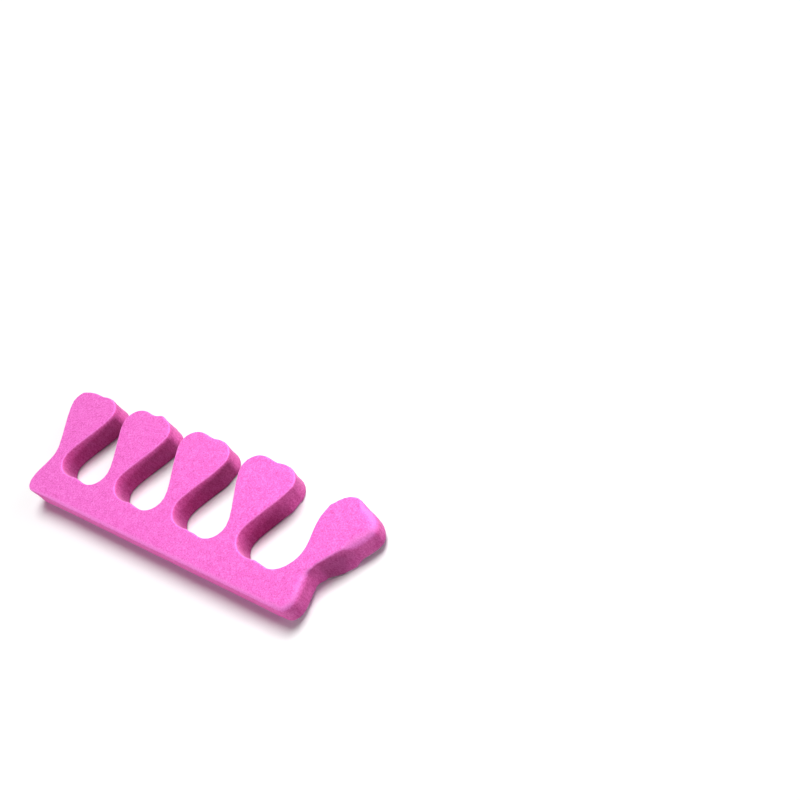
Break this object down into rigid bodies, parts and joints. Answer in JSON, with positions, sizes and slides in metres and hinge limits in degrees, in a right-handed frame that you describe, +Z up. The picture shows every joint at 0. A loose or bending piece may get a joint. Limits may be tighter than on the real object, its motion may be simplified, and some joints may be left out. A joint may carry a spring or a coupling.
{
  "type": "toe separator",
  "caption": "Flat die-cut foam comb: a straight bar with waisted lobes that hold the toes apart for nail care, the end lobe bent outwards.",
  "frame": {"origin": "under the middle of the comb, on the surface that it lies on", "axes": "+X along the bar towards the bent end lobe, +Y from the bar to the lobe tips, +Z up through the foam"},
  "size_m": [0.0994, 0.0284, 0.0063],
  "materials": {
    "eva_foam": "matte closed-cell foam, bright pink, with a fine speckle of cut cells"
  },
  "bodies": {
    "root": {"toe_separator": "eva_foam"}
  },
  "joints": []
}
